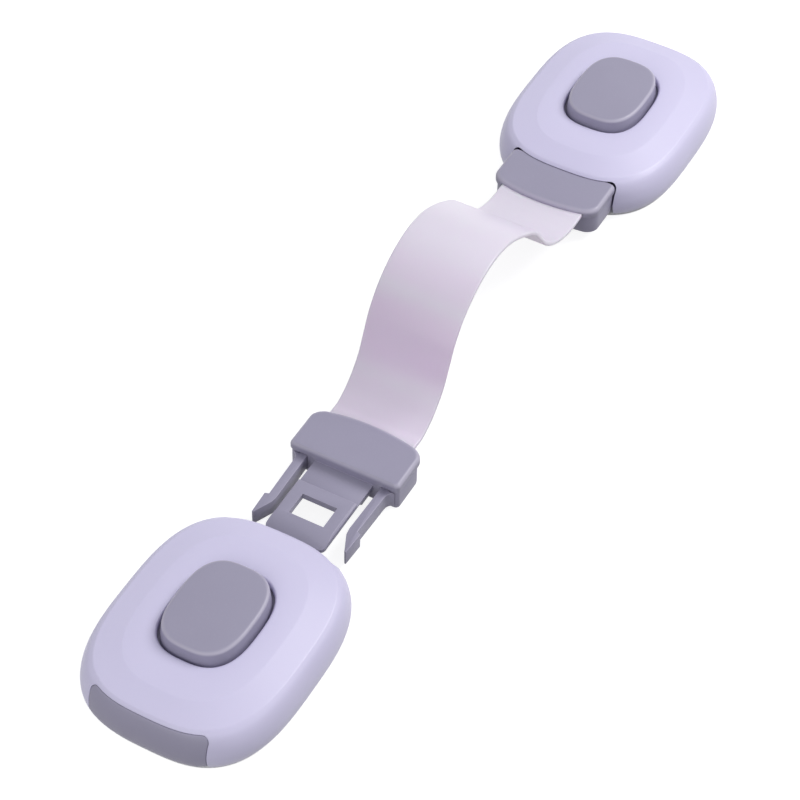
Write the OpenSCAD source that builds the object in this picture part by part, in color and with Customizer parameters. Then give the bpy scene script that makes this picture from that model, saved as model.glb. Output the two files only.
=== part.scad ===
// Cabinet safety lock: two stick-on heads joined by a flexible strap.
// A flat connector on each end of the strap plugs into the mouth of a head.
// The far connector is seated. The near one lies unplugged in front of its head.
// X runs from the near head to the far head, and the lock stands on Z = 0.
// Inside a head, x points from its centre to its mouth.
// Inside a connector, x points from the tongue's tip to the strap.

/* [Heads] */
// Length of a head, along the strap
head_l = 53.2; // [51:0.1:66]
// Width of a head
head_w = 42; // [41:0.1:52]
// Height of the shell beside the button
head_h = 11.9; // [11.5:0.1:15]
// Squareness of a head's outline, where 2 is an ellipse
head_square = 3.05; // [2.8:0.05:3.6]
// Distance between the two heads' centres
head_pitch = 169.6; // [150:0.1:260]
// Thickness of the shell's wall
shell_wall = 1.6; // [1.2:0.1:1.8]
// Thickness of the adhesive pad
pad_t = 0.9; // [0.5:0.1:1.2]
// Thickness of the base plate
plate_t = 1.1; // [0.8:0.1:1.4]

/* [Push button] */
// Length of the button's opening in the shell
opening_l = 23.9; // [20:0.1:29]
// Width of the button's opening in the shell
opening_w = 18.1; // [16:0.1:22]
// Height of the button's top above the shell
button_proud = 2.6; // [1.9:0.1:3.5]
// Gap round the button in its opening
button_gap = 0.45; // [0.2:0.05:0.6]
// Travel of the button
button_travel = 1.8; // [1.2:0.1:1.9]

/* [Connectors] */
// Width of the connector's cover
cover_w = 25; // [23.4:0.1:30]
// Depth of the cover at its middle
cover_l = 12.5; // [11:0.1:15]
// Height of the connector
connector_h = 7.1; // [6.6:0.1:8]
// Height of the seam between the connector's base and cover
seam_h = 5.1; // [4.9:0.1:5.4]
// Width of the tongue
tongue_w = 13.3; // [11:0.1:13.6]
// Length of the tongue in front of the cover
tongue_l = 19.8; // [19:0.1:21]
// Thickness of the tongue
tongue_t = 1.5; // [1.2:0.1:1.8]
// Length of the tongue's window
window_l = 5.5; // [4.6:0.1:6.6]
// Width of the tongue's window
window_w = 7.8; // [6:0.1:9.4]
// Thickness of a spring arm
arm_t = 1.8; // [1.5:0.05:2]
// Height of a spring arm
arm_h = 3.7; // [3:0.1:3.7]
// How far an arm's barb stands out
barb = 0.85; // [0.7:0.05:1]
// Angle that the release slider bends an arm by
squeeze = 3; // [2.8:0.1:3.2]

/* [Strap] */
// Width of the strap
strap_w = 19.6; // [16:0.1:20]
// Thickness of the strap
strap_t = 1; // [0.8:0.1:1.2]
// Rise of the strap's hump above the line between its ends
hump_h = 24.2; // [15:0.1:32]

/* [Release slider] */
// Travel of the release slider
slider_travel = 2.4; // [2:0.1:2.6]

/* [Hidden] */

// Colours
white = [0.85, 0.83, 0.93];
grey = [0.62, 0.6, 0.68];
foam = [0.93, 0.93, 0.95];
pale = [0.87, 0.83, 0.91];
steel = [0.75, 0.75, 0.78];

// Sides of a large outline, of a small one and of a round hole
outline_sides = 64;
small_sides = 40;
$fn = 32;

// Clearances, the overrun of cuts and the depth to which joined shapes run into each other
press_gap = 0.05;
fit_gap = 0.1;
slide_gap = 0.15;
free_gap = 0.25;
cut = 1;
sink = 0.2;

// Heights in a head
plate_z = pad_t;
floor_z = plate_z + plate_t;
roof_z = head_h - shell_wall;
ledge_z = floor_z + slide_gap;

// The slots in a head's two ends, and how far the cover stands inside the mouth
slot_w = cover_w + 2 * slide_gap;
slot_h = ledge_z + connector_h + free_gap;
slot_round = 1.5;
mouth_depth = 3.4;

// The tip of a seated tongue, from the head's centre, and the height that the connector sits at
seat_x = head_l / 2 - mouth_depth - tongue_l;
seat_z = ledge_z;
// How far the near tongue's tip lies in front of the near head, and how steeply it climbs in
near_tip_gap = 1.3;
climb = seat_z / (head_l / 2 - seat_x + near_tip_gap);

// The shell's outside: how far each ring is in from the widest outline, and its height,
// as shares of the rounded edge's depth and of the shell's height
edge_depth = 7.2;
shell_h = head_h - plate_z;
edge_shares = [
    [0.11, 0], [0.025, 0.15], [0, 0.32], [0.035, 0.5], [0.1, 0.636],
    [0.195, 0.745], [0.33, 0.82], [0.47, 0.86], [1, 0.955]
];
// The same rings on the inside drop by these shares of the wall
inner_drop_shares = [0, 0.3, 0.3, 1, 1, 1, 1, 1, 1];
// How much less square the outline becomes over the edge's depth
edge_soften = 0.35;
lip_r = 0.5;
pad_inset = 1.2;

// Push button
button_l = opening_l - 2 * button_gap;
button_w = opening_w - 2 * button_gap;
button_square = 2.84;
button_top = head_h + button_proud;
button_draft = 0.35;
button_edge_r = 0.7;
button_wall = 1.4;
button_roof = button_top - button_wall;
flange_w = 0.9;
flange_t = 0.7;
flange_gap = 0.2;
flange_z = roof_z - flange_gap - flange_t;

// Connector: the tongue and its window
tongue_rise = 0.1;
tongue_top = seam_h + tongue_rise;
tip_round = 1.3;
tip_slope = 4.6;
tip_drop = 0.7;
tongue_edge = 0.35;
window_x = 5.1;
step_x = 13.65;
step_drop = 1;

// Connector: cover and base
cover_x = tongue_l;
cover_end = cover_x + cover_l;
cover_bulge = 1.9;
cover_front_r = 1;
cover_back_r = 2.6;
cover_round = 0.8;
base_set_back = 0.3;
base_x = cover_x + base_set_back;
base_inset = 0.2;
base_w = cover_w - 2 * base_inset;
base_tail = 1.5;
base_end = cover_end - base_tail;
base_bulge = 1;
base_round = 0.4;
corner_sides = 7;
back_sides = 10;

// Connector: spring arms
arm_space = 1.55;
arm_in = tongue_w / 2 + arm_space;
arm_out = arm_in + arm_t;
arm_lean = 0.3;
arm_z = 0.9;
arm_tip_x = 2.2;
shoulder_x = 7.7;
shoulder_slope = 0.15;
arm_bend_x = 6.3;
arm_bend_l = 1.5;
arm_bend = 0.2;
barb_out = arm_out + barb;
tip_lean = 0.25;
tip_out = barb_out - tip_lean;
tip_flat = 0.35;
pivot_depth = 1.1;
pivot_x = base_x + pivot_depth;
pivot_r = arm_t / 2;
pivot_y = arm_in + arm_lean + pivot_r;
root_fillet = 1.8;
neck_gap = 0.12;
tip_shift = (pivot_x - arm_tip_x) * tan(squeeze);

// Connector: the strap's end and the pegs that hold it
strap_hold = 8.4;
strap_z = seam_h + press_gap + strap_t / 2;
strap_peg_r = 1.1;
strap_peg_y = 6;
strap_peg_x = cover_end - strap_hold + 2 * strap_peg_r;

// Latch leaf: its pad lies behind the seated tongue's tip, its tooth in the tongue's window
leaf_t = 1;
leaf_gap = 0.55;
leaf_z = seat_z + tongue_top - tongue_t - leaf_gap - leaf_t;
leaf_w = 10.8;
leaf_slot = 6.6;
leaf_arm_w = 6.4;
leaf_pad_l = 3;
leaf_pad_rise = 0.6;
leaf_pad_gap = 1.4;
leaf_pad_x = seat_x - leaf_pad_l - leaf_pad_gap;
leaf_pad_top = leaf_z + leaf_t + leaf_pad_rise;
leaf_strip_l = 11.1;
leaf_root_x = leaf_pad_x - leaf_strip_l;
anchor_l = 3.4;
anchor_x = leaf_root_x - anchor_l;
anchor_pin_r = 0.9;
anchor_pin_y = 3.9;
tooth_gap = 0.35;
tooth_w = window_w - 2 * tooth_gap;
tooth_x = seat_x + window_x + tooth_gap;
tooth_l = window_l - 2 * tooth_gap;
tooth_top = seat_z + tongue_top - slide_gap;
tooth_land = 0.8;
tooth_lead_h = 0.6;
// Share of the button's travel that moves the leaf's pad
leaf_follow_share = 0.49;

// The button's post and spring
post_inset = 0.2;
post_x = leaf_pad_x + post_inset;
post_l = leaf_pad_l - 2 * post_inset;
post_w = 4.4;
post_z = leaf_pad_top + button_travel * (1 - leaf_follow_share) + slide_gap;
spring_set_back = 5.2;
spring_x = leaf_pad_x - spring_set_back;
spring_r = 2.1;
spring_wire = 0.5;
spring_turns = 7;
spigot_r = 1.5;
spigot_h = 1.4;

// Release slider: cap, prongs with wedges, hooks, and the return spring with its stop
cap_depth = 4;
cap_back = cap_depth - head_l / 2;
cap_wall = 2;
cap_z = plate_z + slide_gap;
cap_pocket_w = 5;
cap_pocket_y = 3.2;
prong_h = 3.4;
prong_out = slot_w / 2 - slide_gap;
prong_in = tip_out - tip_shift + press_gap;
prong_x = seat_x + arm_tip_x - slide_gap;
wedge_out = tip_out + slide_gap;
hook_w = 0.6;
hook_t = 1.2;
hook_h = 2.2;
hook_y = slot_w / 2 + hook_w;
return_r = 1.8;
return_wire = 0.45;
return_turns = 5;
return_rise = 2.75;
return_z = ledge_z + return_rise;
return_spigot_l = 0.8;
stop_t = 1.1;
stop_x = anchor_x - fit_gap - stop_t;
stop_h = return_z + return_r - floor_z;

// Catches for the barbs on the base plate
catch_x = seat_x + shoulder_x + slide_gap;
catch_l = 5.2;
catch_in = arm_out + 2 * slide_gap;
catch_w = 2.4;
catch_lead = 1.2;
catch_h = seat_z + arm_z + arm_h - floor_z + sink;

// Ramp on the base plate that the arms climb as the connector is pushed in
ramp_x = head_l / 2 + near_tip_gap + arm_tip_x - (floor_z + slide_gap - arm_z) / climb;

// Sockets on the base plate and the shell's pegs in them
boss_r = 2;
boss_h = 4.6;
boss_x_share = 0.16;
boss_x = boss_x_share * head_l;
boss_y = prong_out + slide_gap + boss_r;
shell_peg_r = 1;
shell_peg_z = floor_z + boss_h / 2;

// Power that keeps the sign, and the outline of a squarish oval
function power(v, p) = sign(v) * pow(abs(v), p);
function oval(a, b, n, sides) = [for (i = [0:sides - 1])
    let (t = 360 * i / sides)
    [a * power(cos(t), 2 / n), b * power(sin(t), 2 / n)]];
function raised(points, z) = [for (p = points) [p[0], p[1], z]];
function unit(v) = v / norm(v);

// Closed surface over rings of points that all have the same count
module skin(rings, closed = false) {
    n = len(rings[0]);
    m = len(rings);
    sides = [for (j = [0:closed ? m - 1 : m - 2], i = [0:n - 1])
        let (a = j * n, b = (j + 1) % m * n, k = (i + 1) % n)
        each [[a + i, b + i, b + k], [a + i, b + k, a + k]]];
    bottom = [for (i = [0:n - 1]) i];
    top = [for (i = [n - 1:-1:0]) (m - 1) * n + i];
    polyhedron([for (ring = rings) each ring], closed ? sides : concat(sides, [bottom, top]),
        convexity = 6);
}

// Coil spring about Z, standing on Z = 0: one round wire, with its least gap printed
coil_steps = 8;
wire_sides = 6;
function coil(r, turns, h) = [for (i = [0:coil_steps * turns])
    [r * cos(360 * i / coil_steps), r * sin(360 * i / coil_steps), h * i / (coil_steps * turns)]];
function wire_ring(path, i, r) =
    let (
        t = unit(path[min(i + 1, len(path) - 1)] - path[max(i - 1, 0)]),
        u = unit(cross(t, [0, 0, 1])),
        v = cross(t, u)
    )
    [for (k = [0:wire_sides - 1])
        path[i] + r * (cos(360 * k / wire_sides) * u + sin(360 * k / wire_sides) * v)];
function least_gap(path, wire) = min([for (i = [0:len(path) - 1 - coil_steps])
    norm(path[i + coil_steps] - path[i])]) - wire;
module coil_spring(r, wire, turns, h) {
    path = coil(r, turns, h - wire);
    echo(least_gap_between_curls = least_gap(path, wire));
    translate([0, 0, wire / 2]) skin([for (i = [0:len(path) - 1]) wire_ring(path, i, wire / 2)]);
}

// Rings of the shell's outside, and of the button's opening
function shell_oval(inset) = oval(head_l / 2 - inset, head_w / 2 - inset,
    head_square - edge_soften * inset / edge_depth, outline_sides);
function shell_ring(inset, z) = raised(shell_oval(inset), z);
function edge_rings() = [for (s = edge_shares) shell_ring(edge_depth * s[0], plate_z + shell_h * s[1])];
function opening_ring(grow, z) =
    raised(oval(opening_l / 2 + grow, opening_w / 2 + grow, button_square, outline_sides), z);
// Where the shell's inner wall crosses a given y, just above the base plate
inner_inset = shell_wall + edge_depth * edge_shares[1][0];
function inner_wall_x(y) =
    let (n = head_square - edge_soften * inner_inset / edge_depth, b = head_w / 2 - inner_inset)
    (head_l / 2 - inner_inset) * pow(1 - pow(y / b, n), 1 / n);

// Rectangle between two x values, with small front corners and large back ones, and the same
// with a back edge that bulges
function corner(cx, cy, r, start) = [for (i = [0:corner_sides])
    let (angle = start + 90 * i / corner_sides) [cx + r * cos(angle), cy + r * sin(angle)]];
function body_outline(x0, x1, w, inset) =
    let (
        front = x0 + cover_front_r, front_y = w / 2 - cover_front_r, front_r = cover_front_r - inset,
        back = x1 - cover_back_r, back_y = w / 2 - cover_back_r, back_r = cover_back_r - inset
    )
    concat(corner(back, back_y, back_r, 0), corner(front, front_y, front_r, 90),
        corner(front, -front_y, front_r, 180), corner(back, -back_y, back_r, 270),
        [for (i = [1:back_sides - 1]) [x1 - inset, back_y * (2 * i / back_sides - 1)]]);
function body_ring(x0, x1, w, bulge, inset, z) = [for (p = body_outline(x0, x1, w, inset))
    [p[0] - bulge * (p[0] - x0) / (x1 - x0) * pow(2 * p[1] / w, 2), p[1], z]];

// Places: the two heads, and the connector in front of or in each
module at_near_head() { translate([-head_pitch / 2, 0, 0]) children(); }
module at_far_head() { translate([head_pitch / 2, 0, 0]) rotate([0, 0, 180]) children(); }
near_tip_x = (head_l - head_pitch) / 2 + near_tip_gap;
far_tip_x = head_pitch / 2 - seat_x;
module at_near_connector() { translate([near_tip_x, 0, 0]) children(); }
module at_far_connector() { translate([far_tip_x, 0, seat_z]) mirror([1, 0, 0]) children(); }
module both_sides() { children(); mirror([0, 1, 0]) children(); }
module both_ends() { children(); mirror([1, 0, 0]) children(); }

// Block between two x values and two heights, centred on y = 0
module block(x0, x1, w, z0, z1) { translate([x0, -w / 2, z0]) cube([x1 - x0, w, z1 - z0]); }

// Slot through a head's end wall, from the floor up, with round top corners
module end_slot(w, h, x0, x1) {
    block(x0, x1, w, 0, h - slot_round);
    block(x0, x1, w - 2 * slot_round, 0, h);
    both_sides() translate([x0, w / 2 - slot_round, h - slot_round]) rotate([0, 90, 0])
        cylinder(h = x1 - x0, r = slot_round);
}

module adhesive_pad() {
    color(foam) linear_extrude(pad_t)
        polygon(shell_oval(pad_inset));
}

// Base plate with the catches, the leaf's anchor, the springs' seats and the shell's sockets
module base_plate() {
    inset = edge_depth * edge_shares[0][0] + shell_wall + slide_gap;
    recess_end = cap_wall + slider_travel + free_gap - head_l / 2;
    color(white) difference() {
        union() {
            difference() {
                translate([0, 0, plate_z]) linear_extrude(plate_t)
                    polygon(shell_oval(inset));
                mouth_ramp();
            }
            both_sides() barb_catch();
            leaf_anchor();
            translate([spring_x, 0, floor_z - sink]) cylinder(h = spigot_h + sink, r = spigot_r);
            both_ends() both_sides() translate([boss_x, boss_y, floor_z - sink])
                cylinder(h = boss_h + sink, r = boss_r);
        }
        both_ends() both_sides() translate([boss_x, boss_y, floor_z])
            cylinder(h = boss_h + cut, r = shell_peg_r + fit_gap);
        block(-head_l / 2, recess_end, slot_w, 0, floor_z + cut);
    }
}
// Cut that slopes the plate's top down towards the mouth
module mouth_ramp() {
    end = head_l / 2;
    translate([0, slot_w / 2, 0]) rotate([90, 0, 0]) linear_extrude(slot_w) polygon([
        [ramp_x, floor_z], [end, floor_z - climb * (end - ramp_x)], [end, floor_z + cut],
        [ramp_x, floor_z + cut]
    ]);
}
// Wall that a barb hooks behind, with a lead-in towards the mouth
module barb_catch() {
    translate([0, 0, floor_z - sink]) linear_extrude(catch_h + sink) polygon([
        [catch_x, catch_in], [catch_x + catch_l - catch_lead, catch_in],
        [catch_x + catch_l, catch_in + catch_lead], [catch_x + catch_l, catch_in + catch_w],
        [catch_x, catch_in + catch_w]
    ]);
}
// Block under the leaf's fixed end, the leaf's two pins, and the return spring's stop behind it
module leaf_anchor() {
    block(stop_x, leaf_root_x, leaf_slot, floor_z - sink, leaf_z);
    block(anchor_x, leaf_root_x, leaf_w, floor_z - sink, leaf_z);
    both_sides() translate([anchor_x + anchor_l / 2, anchor_pin_y, leaf_z - sink])
        cylinder(h = leaf_t + 2 * sink, r = anchor_pin_r);
    block(stop_x, stop_x + stop_t, leaf_slot, floor_z - sink, floor_z + stop_h);
    translate([stop_x + sink, 0, return_z]) rotate([0, -90, 0])
        cylinder(h = return_spigot_l + sink, r = return_r - return_wire / 2 - fit_gap);
}

// Outer shell: one moulded skin with the button's opening, a slot in each end and four pegs
module shell() {
    outside = concat(edge_rings(), [opening_ring(lip_r, head_h), opening_ring(0, head_h - lip_r)]);
    inside = [for (i = [len(edge_shares) - 1:-1:0])
        let (s = edge_shares[i])
        shell_ring(edge_depth * s[0] + shell_wall,
            plate_z + shell_h * s[1] - inner_drop_shares[i] * shell_wall)];
    pocket_end = -inner_wall_x(hook_y) + hook_t + slider_travel + free_gap;
    color(white) difference() {
        union() {
            skin(concat(outside, [opening_ring(0, roof_z)], inside), closed = true);
            both_ends() both_sides() translate([boss_x, boss_y, shell_peg_z])
                cylinder(h = roof_z - sink - shell_peg_z - free_gap, r = shell_peg_r);
        }
        both_ends() end_slot(slot_w, slot_h, -pocket_end, head_l / 2 + cut);
    }
}

// Button cap: hollow, with a retaining flange below and a post that presses the leaf
module push_button() {
    function half(d) = oval(button_l / 2 - d, button_w / 2 - d, button_square, small_sides);
    edge = [for (a = [0:30:90]) [button_draft + button_edge_r * (1 - cos(a)),
        button_top - button_edge_r * (1 - sin(a))]];
    color(grey) {
        difference() {
            union() {
                skin(concat([raised(half(0), flange_z)], [for (p = edge) raised(half(p[0]), p[1])]));
                translate([0, 0, flange_z]) linear_extrude(flange_t) polygon(half(-flange_w));
            }
            translate([0, 0, flange_z - cut]) linear_extrude(button_roof - flange_z + cut)
                polygon(half(button_draft + button_wall));
        }
        block(post_x, post_x + post_l, post_w, post_z, button_roof + sink);
        translate([spring_x, 0, button_roof - spigot_h]) cylinder(h = spigot_h + sink, r = spigot_r);
    }
}

module button_spring() {
    color(steel) translate([spring_x, 0, floor_z + press_gap])
        coil_spring(spring_r, spring_wire, spring_turns, button_roof - floor_z - 2 * press_gap);
}

// Forked leaf spring whose tooth stands in the tongue's window
module latch_leaf() {
    color(grey) {
        translate([0, 0, leaf_z]) linear_extrude(leaf_t) difference() {
            union() {
                translate([anchor_x, -leaf_w / 2]) square([leaf_pad_x + leaf_pad_l - anchor_x, leaf_w]);
                translate([leaf_pad_x, -leaf_arm_w / 2])
                    square([tooth_x + tooth_l - leaf_pad_x, leaf_arm_w]);
            }
            translate([leaf_root_x, -leaf_slot / 2]) square([leaf_strip_l, leaf_slot]);
            both_sides() translate([anchor_x + anchor_l / 2, anchor_pin_y])
                circle(anchor_pin_r + fit_gap / 2);
        }
        block(leaf_pad_x, leaf_pad_x + leaf_pad_l, leaf_arm_w, leaf_z + sink, leaf_pad_top);
        translate([0, tooth_w / 2, 0]) rotate([90, 0, 0]) linear_extrude(tooth_w) polygon([
            [tooth_x, leaf_z + sink], [tooth_x + tooth_l, leaf_z + sink],
            [tooth_x + tooth_l, leaf_z + leaf_t + tooth_lead_h],
            [tooth_x + tooth_land, tooth_top], [tooth_x, tooth_top]
        ]);
    }
}

// Grey button in the head's rear end, whose two prongs squeeze the barbs
module release_slider() {
    wall_x = cap_wall - head_l / 2;
    color(grey) {
        difference() {
            intersection() {
                skin(concat(edge_rings(), [shell_ring(edge_depth + cut, head_h)]));
                mirror([1, 0, 0])
                    end_slot(slot_w - 2 * fit_gap, slot_h - fit_gap, -cap_back, head_l / 2 + cut);
            }
            block(-head_l, 0, head_w, 0, cap_z);
            block(wall_x, 0, head_w, 0, ledge_z);
            both_sides() translate([wall_x, cap_pocket_y, ledge_z + cap_wall / 2])
                cube([cap_depth, cap_pocket_w, slot_h - ledge_z - 3 * cap_wall / 2]);
        }
        both_sides() slider_prong();
        translate([cap_back - sink, 0, return_z]) rotate([0, 90, 0])
            cylinder(h = return_spigot_l + sink, r = return_r - return_wire / 2 - fit_gap);
    }
}
// Prong with a wedge at its tip, and the hook that keeps the slider in the shell
module slider_prong() {
    hook_x = 2 * slide_gap - inner_wall_x(hook_y);
    translate([0, 0, ledge_z]) linear_extrude(prong_h) polygon([
        [cap_back - sink, prong_in], [prong_x - slider_travel, prong_in], [prong_x, wedge_out],
        [prong_x, prong_out], [cap_back - sink, prong_out]
    ]);
    translate([hook_x, prong_out - sink, ledge_z]) cube([hook_t, hook_y - prong_out + sink, hook_h]);
}

module slider_spring() {
    color(steel) translate([cap_back + press_gap, 0, return_z]) rotate([0, 90, 0])
        coil_spring(return_r, return_wire, return_turns, stop_x - cap_back - 2 * press_gap);
}

// Cover of the connector, over the strap's end
module connector_cover() {
    edge = [for (a = [0:22.5:90])
        [cover_round * (1 - cos(a)), connector_h - cover_round * (1 - sin(a))]];
    function ring(d, z) = body_ring(cover_x, cover_end, cover_w, cover_bulge, d, z);
    color(grey) difference() {
        skin(concat([ring(0, seam_h)], [for (p = edge) ring(p[0], p[1])]));
        block(cover_end - strap_hold - slide_gap, cover_end + cut, strap_w + 2 * slide_gap,
            seam_h - cut, seam_h + strap_t + 2 * press_gap);
        both_sides() translate([strap_peg_x, strap_peg_y, seam_h])
            cylinder(h = strap_t + 2 * sink, r = strap_peg_r + fit_gap);
    }
}

// Base of the connector with its windowed tongue
module connector_base() {
    edge = [for (a = [90:-30:0]) [base_round * (1 - cos(a)), base_round * (1 - sin(a))]];
    function ring(d, z) = body_ring(base_x, base_end, base_w, base_bulge, d, z);
    color(grey) {
        difference() {
            skin(concat([for (p = edge) ring(p[0], p[1])], [ring(0, seam_h)]));
            both_sides() arm_socket();
        }
        both_sides() translate([strap_peg_x, strap_peg_y, seam_h - sink])
            cylinder(h = strap_t + 2 * sink, r = strap_peg_r);
        tongue();
    }
}
module arm_socket() {
    translate([0, 0, arm_z - fit_gap]) linear_extrude(arm_h + 2 * fit_gap) {
        translate([pivot_x, pivot_y]) circle(pivot_r + fit_gap / 2);
        translate([base_x - cut, pivot_y - pivot_r - neck_gap])
            square([pivot_depth + cut, arm_t + 2 * neck_gap]);
    }
}
// Tongue: its side profile, its outline and its section each cut the same bar
module tongue() {
    root_top = tongue_top - step_drop;
    back = base_x + 2 * base_round;
    intersection() {
        translate([0, tongue_w / 2, 0]) rotate([90, 0, 0]) linear_extrude(tongue_w) polygon([
            [0, tongue_top - tongue_t], [step_x + step_drop, tongue_top - tongue_t],
            [step_x + 2 * step_drop, root_top - tongue_t], [back, root_top - tongue_t],
            [back, root_top], [step_x, root_top], [step_x, tongue_top],
            [tip_slope, tongue_top], [0, tongue_top - tip_drop]
        ]);
        linear_extrude(connector_h) difference() {
            union() {
                translate([tip_round, -tongue_w / 2]) square([back, tongue_w]);
                translate([0, tip_round - tongue_w / 2]) square([back, tongue_w - 2 * tip_round]);
                both_sides() translate([tip_round, tongue_w / 2 - tip_round]) circle(tip_round);
            }
            translate([window_x, -window_w / 2]) square([window_l, window_w]);
        }
        rotate([90, 0, 90]) linear_extrude(back) polygon([
            [-tongue_w / 2, 0], [tongue_w / 2, 0], [tongue_w / 2, tongue_top - tongue_edge],
            [tongue_w / 2 - tongue_edge, tongue_top], [tongue_edge - tongue_w / 2, tongue_top],
            [-tongue_w / 2, tongue_top - tongue_edge]
        ]);
    }
}

// Left spring arm with its barb, whose round root sits in the base
module left_arm() {
    root_out = arm_out + arm_lean;
    fillet = [for (a = [0:15:75]) [base_x - neck_gap - root_fillet * (1 - sin(a)),
        root_out + root_fillet * (1 - cos(a))]];
    color(grey) translate([0, 0, arm_z]) {
        linear_extrude(arm_h) polygon(concat(
            [[pivot_x, arm_in + arm_lean], [arm_bend_x + arm_bend_l, arm_in],
            [arm_bend_x, arm_in + arm_bend], [arm_tip_x, tip_out - tip_flat], [arm_tip_x, tip_out],
            [shoulder_x - shoulder_slope, barb_out], [shoulder_x + shoulder_slope, arm_out]],
            fillet,
            [[base_x - neck_gap, root_out], [pivot_x, root_out]]));
        translate([pivot_x, pivot_y, 0]) cylinder(h = arm_h, r = pivot_r);
    }
}
module right_arm() { mirror([0, 1, 0]) left_arm(); }

// Middle line of the strap, from cover to cover: shares of the span, and of the hump's rise
// above the straight line between the ends
near_exit = near_tip_x + cover_end;
far_exit = far_tip_x - cover_end;
hump_shares = [
    [0, 0], [0.035, 0], [0.09, 0.08], [0.145, 0.247], [0.178, 0.442], [0.208, 0.626],
    [0.255, 0.798], [0.32, 0.928], [0.385, 0.99], [0.445, 1], [0.51, 0.963], [0.58, 0.863],
    [0.66, 0.69], [0.735, 0.475], [0.8, 0.272], [0.86, 0.122], [0.92, 0.028], [0.97, 0]
];
far_strap_z = strap_z + seat_z;
strap_points = concat(
    [[near_exit - strap_hold, strap_z], [near_exit - strap_hold / 2, strap_z]],
    [for (s = hump_shares) [near_exit + s[0] * (far_exit - near_exit),
        strap_z + s[0] * seat_z + s[1] * hump_h]],
    [[far_exit, far_strap_z], [far_exit + strap_hold / 2, far_strap_z],
    [far_exit + strap_hold, far_strap_z]]);
// Smooth curve through the points
function spline(p, i, t) =
    let (a = p[max(i - 1, 0)], b = p[i], c = p[i + 1], d = p[min(i + 2, len(p) - 1)])
    b + (t * (c - a) + t * t * (2 * a - 5 * b + 4 * c - d) + t * t * t * (3 * b - a - 3 * c + d)) / 2;
spline_steps = 3;
strap_line = concat(
    [for (i = [0:len(strap_points) - 2], k = [0:spline_steps - 1])
        spline(strap_points, i, k / spline_steps)],
    [strap_points[len(strap_points) - 1]]);
function beside(line, i, d) =
    let (t = unit(line[min(i + 1, len(line) - 1)] - line[max(i - 1, 0)]))
    line[i] + d * [-t[1], t[0]];

module strap() {
    last = len(strap_line) - 1;
    color(pale) difference() {
        translate([0, strap_w / 2, 0]) rotate([90, 0, 0]) linear_extrude(strap_w) polygon(concat(
            [for (i = [0:last]) beside(strap_line, i, strap_t / 2)],
            [for (i = [last:-1:0]) beside(strap_line, i, -strap_t / 2)]));
        at_near_connector() strap_holes();
        at_far_connector() strap_holes();
    }
}
module strap_holes() {
    both_sides() translate([strap_peg_x, strap_peg_y, 0])
        cylinder(h = connector_h, r = strap_peg_r + fit_gap / 2);
}

module near_adhesive_pad() { at_near_head() adhesive_pad(); }
module near_base_plate() { at_near_head() base_plate(); }
module near_shell() { at_near_head() shell(); }
module near_push_button() { at_near_head() push_button(); }
module near_button_spring() { at_near_head() button_spring(); }
module near_latch_leaf() { at_near_head() latch_leaf(); }
module near_release_slider() { at_near_head() release_slider(); }
module near_slider_spring() { at_near_head() slider_spring(); }
module near_connector_base() { at_near_connector() connector_base(); }
module near_connector_cover() { at_near_connector() connector_cover(); }
module near_left_arm() { at_near_connector() left_arm(); }
module near_right_arm() { at_near_connector() right_arm(); }
module far_connector_base() { at_far_connector() connector_base(); }
module far_connector_cover() { at_far_connector() connector_cover(); }
module far_left_arm() { at_far_connector() left_arm(); }
module far_right_arm() { at_far_connector() right_arm(); }
module far_adhesive_pad() { at_far_head() adhesive_pad(); }
module far_base_plate() { at_far_head() base_plate(); }
module far_shell() { at_far_head() shell(); }
module far_push_button() { at_far_head() push_button(); }
module far_button_spring() { at_far_head() button_spring(); }
module far_latch_leaf() { at_far_head() latch_leaf(); }
module far_release_slider() { at_far_head() release_slider(); }
module far_slider_spring() { at_far_head() slider_spring(); }

near_adhesive_pad();
near_base_plate();
near_shell();
near_push_button();
near_button_spring();
near_latch_leaf();
near_release_slider();
near_slider_spring();
near_connector_base();
near_connector_cover();
near_left_arm();
near_right_arm();
strap();
far_connector_base();
far_connector_cover();
far_left_arm();
far_right_arm();
far_adhesive_pad();
far_base_plate();
far_shell();
far_push_button();
far_button_spring();
far_latch_leaf();
far_release_slider();
far_slider_spring();
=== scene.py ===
"""Cabinet safety lock: the looks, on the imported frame. Sizes are in millimetres until a mesh is made."""
import math

import bmesh
import bpy
import numpy as np
from mathutils import Matrix, Vector


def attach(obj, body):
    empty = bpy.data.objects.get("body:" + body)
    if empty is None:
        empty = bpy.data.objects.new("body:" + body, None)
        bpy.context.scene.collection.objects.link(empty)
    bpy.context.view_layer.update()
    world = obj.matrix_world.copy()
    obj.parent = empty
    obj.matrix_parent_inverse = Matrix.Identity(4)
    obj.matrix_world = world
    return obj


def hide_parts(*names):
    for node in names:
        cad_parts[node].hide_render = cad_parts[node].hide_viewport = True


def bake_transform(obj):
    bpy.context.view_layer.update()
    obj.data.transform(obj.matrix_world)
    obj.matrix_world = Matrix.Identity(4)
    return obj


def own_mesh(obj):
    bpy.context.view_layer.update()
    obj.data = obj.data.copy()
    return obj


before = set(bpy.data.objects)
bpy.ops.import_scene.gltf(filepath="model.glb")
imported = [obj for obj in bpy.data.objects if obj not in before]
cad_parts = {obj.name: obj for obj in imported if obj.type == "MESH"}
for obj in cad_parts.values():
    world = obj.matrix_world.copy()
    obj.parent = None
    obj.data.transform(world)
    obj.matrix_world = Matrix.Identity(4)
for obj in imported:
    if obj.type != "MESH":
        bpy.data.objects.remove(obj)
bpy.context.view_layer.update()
MM = 0.001

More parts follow.
